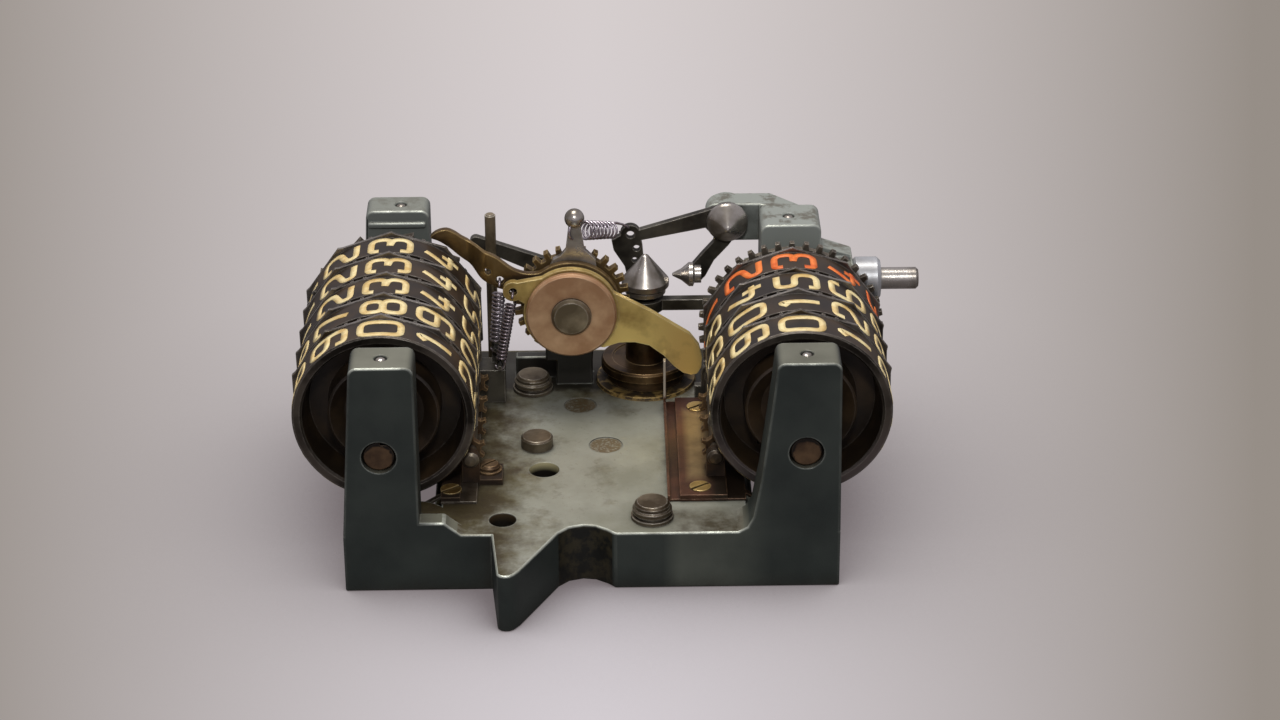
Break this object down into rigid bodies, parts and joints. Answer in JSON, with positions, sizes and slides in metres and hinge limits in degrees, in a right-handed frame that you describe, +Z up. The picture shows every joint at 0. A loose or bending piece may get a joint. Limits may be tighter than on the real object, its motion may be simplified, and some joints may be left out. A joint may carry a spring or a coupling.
{
  "type": "mechanical adding machine",
  "caption": "Open mechanical counter with two banks of numbered wheels, transfer pinions, sprung levers and a worm-driven input shaft on a cast frame.",
  "frame": {"origin": "centre of the underside, midway between the two drum axles, where the frame rests", "axes": "+X across the two banks towards the input shaft, +Y from the front posts to the rear, +Z up"},
  "size_m": [0.0899, 0.0669, 0.0388],
  "materials": {
    "casting_enamel": "worn grey-green enamel over a casting",
    "dark_axle_steel": "browned steel",
    "bright_steel": "polished steel",
    "dull_steel": "dull grey steel",
    "dark_steel": "blackened steel",
    "wheel_enamel": "dark band with bright worn rings and pale figures",
    "brass": "bright brass",
    "dark_brass": "darkened brass",
    "bronze": "copper-coloured bronze",
    "aluminium": "turned aluminium",
    "spring_steel": "bright spring wire"
  },
  "bodies": {
    "frame": {"frame_casting": "casting_enamel", "left_axle": "dark_axle_steel", "right_axle": "dark_axle_steel", "axle_pins": "bright_steel", "axle_collars": "dull_steel", "pinion_shafts": "dull_steel", "left_front_bracket": "dark_axle_steel", "left_rear_bracket": "dark_steel", "right_front_bracket": "dark_axle_steel", "right_rear_bracket": "dark_steel", "left_detent_leaf": "dull_steel", "right_detent_leaf": "dull_steel", "left_clamp_bar": "dark_steel", "right_clamp_bar": "bronze", "clamp_screws": "brass", "shaft_bush": "aluminium", "central_axle": "dull_steel", "bronze_washer": "bronze", "axle_clip": "bright_steel", "front_spring": "spring_steel", "rear_spring": "spring_steel", "link_spring": "spring_steel", "pivot_screw": "bright_steel", "seat_ring": "brass", "guide_pin": "bright_steel", "frame_screws": "bright_steel", "floor_stud": "bright_steel", "bracket_screw": "bronze"},
    "left_wheel_1": {"left_wheel_1": "wheel_enamel"},
    "left_wheel_2": {"left_wheel_2": "wheel_enamel"},
    "left_wheel_3": {"left_wheel_3": "wheel_enamel"},
    "left_wheel_4": {"left_wheel_4": "wheel_enamel"},
    "left_wheel_5": {"left_wheel_5": "wheel_enamel", "left_feed_ratchet": "dull_steel"},
    "right_wheel_1": {"right_wheel_1": "wheel_enamel"},
    "right_wheel_2": {"right_wheel_2": "wheel_enamel"},
    "right_wheel_3": {"right_wheel_3": "wheel_enamel"},
    "right_wheel_4": {"right_wheel_4": "wheel_enamel", "right_lock_ring": "dull_steel", "drive_gear": "dark_brass"},
    "left_pinion_1": {"left_pinion_1": "brass"},
    "left_pinion_2": {"left_pinion_2": "brass"},
    "left_pinion_3": {"left_pinion_3": "brass"},
    "left_pinion_4": {"left_pinion_4": "brass"},
    "right_pinion_1": {"right_pinion_1": "brass"},
    "right_pinion_2": {"right_pinion_2": "brass"},
    "right_pinion_3": {"right_pinion_3": "brass"},
    "input": {"input_shaft": "bright_steel", "input_worm": "brass"},
    "toothed_wheel": {"toothed_wheel": "dark_brass"},
    "front_lever": {"front_lever": "brass"},
    "rear_lever": {"rear_lever": "dark_brass"},
    "ball_arm": {"ball_arm": "dull_steel"},
    "rear_arm": {"rear_arm": "dark_steel"},
    "bell_crank": {"bell_crank": "dark_steel", "cone_screw": "bright_steel"},
    "spindle": {"spindle": "dull_steel", "spindle_disc": "bronze", "cone_nut": "bright_steel", "spindle_arm": "dark_steel"}
  },
  "joints": [
    {"name": "left_wheel_1_turn", "type": "hinge", "parent": "frame", "child": "left_wheel_1", "pos_m": [-0.029, 0, 0.021], "axis": [0, 1, 0], "continuous": true},
    {"name": "left_wheel_2_turn", "type": "hinge", "parent": "frame", "child": "left_wheel_2", "pos_m": [-0.029, 0, 0.021], "axis": [0, 1, 0], "continuous": true},
    {"name": "left_wheel_3_turn", "type": "hinge", "parent": "frame", "child": "left_wheel_3", "pos_m": [-0.029, 0, 0.021], "axis": [0, 1, 0], "continuous": true},
    {"name": "left_wheel_4_turn", "type": "hinge", "parent": "frame", "child": "left_wheel_4", "pos_m": [-0.029, 0, 0.021], "axis": [0, 1, 0], "continuous": true},
    {"name": "left_wheel_5_turn", "type": "hinge", "parent": "frame", "child": "left_wheel_5", "pos_m": [-0.029, 0, 0.021], "axis": [0, 1, 0], "continuous": true},
    {"name": "right_wheel_1_turn", "type": "hinge", "parent": "frame", "child": "right_wheel_1", "pos_m": [0.029, 0, 0.021], "axis": [0, 1, 0], "continuous": true},
    {"name": "right_wheel_2_turn", "type": "hinge", "parent": "frame", "child": "right_wheel_2", "pos_m": [0.029, 0, 0.021], "axis": [0, 1, 0], "continuous": true},
    {"name": "right_wheel_3_turn", "type": "hinge", "parent": "frame", "child": "right_wheel_3", "pos_m": [0.029, 0, 0.021], "axis": [0, 1, 0], "continuous": true},
    {"name": "right_wheel_4_turn", "type": "hinge", "parent": "frame", "child": "right_wheel_4", "pos_m": [0.029, 0, 0.021], "axis": [0, 1, 0], "continuous": true},
    {"name": "left_pinion_1_turn", "type": "hinge", "parent": "frame", "child": "left_pinion_1", "pos_m": [-0.01722, 0, 0.0128], "axis": [0, 1, 0], "continuous": true},
    {"name": "left_pinion_2_turn", "type": "hinge", "parent": "frame", "child": "left_pinion_2", "pos_m": [-0.01722, 0, 0.0128], "axis": [0, 1, 0], "continuous": true},
    {"name": "left_pinion_3_turn", "type": "hinge", "parent": "frame", "child": "left_pinion_3", "pos_m": [-0.01722, 0, 0.0128], "axis": [0, 1, 0], "continuous": true},
    {"name": "left_pinion_4_turn", "type": "hinge", "parent": "frame", "child": "left_pinion_4", "pos_m": [-0.01722, 0, 0.0128], "axis": [0, 1, 0], "continuous": true},
    {"name": "right_pinion_1_turn", "type": "hinge", "parent": "frame", "child": "right_pinion_1", "pos_m": [0.01722, 0, 0.0128], "axis": [0, 1, 0], "continuous": true},
    {"name": "right_pinion_2_turn", "type": "hinge", "parent": "frame", "child": "right_pinion_2", "pos_m": [0.01722, 0, 0.0128], "axis": [0, 1, 0], "continuous": true},
    {"name": "right_pinion_3_turn", "type": "hinge", "parent": "frame", "child": "right_pinion_3", "pos_m": [0.01722, 0, 0.0128], "axis": [0, 1, 0], "continuous": true},
    {"name": "input_turn", "type": "hinge", "parent": "frame", "child": "input", "pos_m": [0.029, 0.0146, 0.0266], "axis": [1, 0, 0], "continuous": true},
    {"name": "toothed_wheel_turn", "type": "hinge", "parent": "frame", "child": "toothed_wheel", "pos_m": [-0.003, 0, 0.0237], "axis": [0, 1, 0], "continuous": true},
    {"name": "front_lever_swing", "type": "hinge", "parent": "frame", "child": "front_lever", "pos_m": [-0.003, 0, 0.0237], "axis": [0, 1, 0], "range_deg": [0, 13], "stiffness_Nm_per_rad": 0.001, "springref_deg": -6.88, "deforming": ["front_spring"]},
    {"name": "rear_lever_swing", "type": "hinge", "parent": "frame", "child": "rear_lever", "pos_m": [-0.003, 0, 0.0237], "axis": [0, 1, 0], "range_deg": [0, 12], "stiffness_Nm_per_rad": 0.001, "springref_deg": -6.88, "deforming": ["rear_spring"]},
    {"name": "ball_arm_swing", "type": "hinge", "parent": "frame", "child": "ball_arm", "pos_m": [-0.003, 0, 0.0237], "axis": [0, 1, 0], "range_deg": [-8, 0], "stiffness_Nm_per_rad": 0.002, "springref_deg": 6.88, "deforming": ["link_spring"]},
    {"name": "rear_arm_swing", "type": "hinge", "parent": "frame", "child": "rear_arm", "pos_m": [-0.003, 0, 0.0237], "axis": [0, 1, 0], "range_deg": [-8, 8]},
    {"name": "bell_crank_swing", "type": "hinge", "parent": "frame", "child": "bell_crank", "pos_m": [0.0201, 0, 0.0325], "axis": [0, 1, 0], "range_deg": [-5, 0], "stiffness_Nm_per_rad": 0.002, "springref_deg": 6.88, "deforming": ["link_spring"]},
    {"name": "spindle_turn", "type": "hinge", "parent": "frame", "child": "spindle", "pos_m": [0.0079, 0.018, 0], "axis": [0, 0, 1], "range_deg": [-10, 0]}
  ],
  "couplings": [
    {"joint": "right_wheel_3_turn", "follows": "right_wheel_4_turn", "ratio": 0.1},
    {"joint": "right_wheel_2_turn", "follows": "right_wheel_4_turn", "ratio": 0.01},
    {"joint": "right_wheel_1_turn", "follows": "right_wheel_4_turn", "ratio": 0.001},
    {"joint": "input_turn", "follows": "right_wheel_4_turn", "ratio": -15},
    {"joint": "right_pinion_3_turn", "follows": "right_wheel_4_turn", "ratio": -0.66667},
    {"joint": "right_pinion_2_turn", "follows": "right_wheel_4_turn", "ratio": -0.066667},
    {"joint": "right_pinion_1_turn", "follows": "right_wheel_4_turn", "ratio": -0.0066667},
    {"joint": "left_wheel_4_turn", "follows": "left_wheel_5_turn", "ratio": 0.1},
    {"joint": "left_wheel_3_turn", "follows": "left_wheel_5_turn", "ratio": 0.01},
    {"joint": "left_wheel_2_turn", "follows": "left_wheel_5_turn", "ratio": 0.001},
    {"joint": "left_wheel_1_turn", "follows": "left_wheel_5_turn", "ratio": 0.0001},
    {"joint": "left_pinion_4_turn", "follows": "left_wheel_5_turn", "ratio": -0.66667},
    {"joint": "left_pinion_3_turn", "follows": "left_wheel_5_turn", "ratio": -0.066667},
    {"joint": "left_pinion_2_turn", "follows": "left_wheel_5_turn", "ratio": -0.0066667},
    {"joint": "left_pinion_1_turn", "follows": "left_wheel_5_turn", "ratio": -0.00066667}
  ]
}
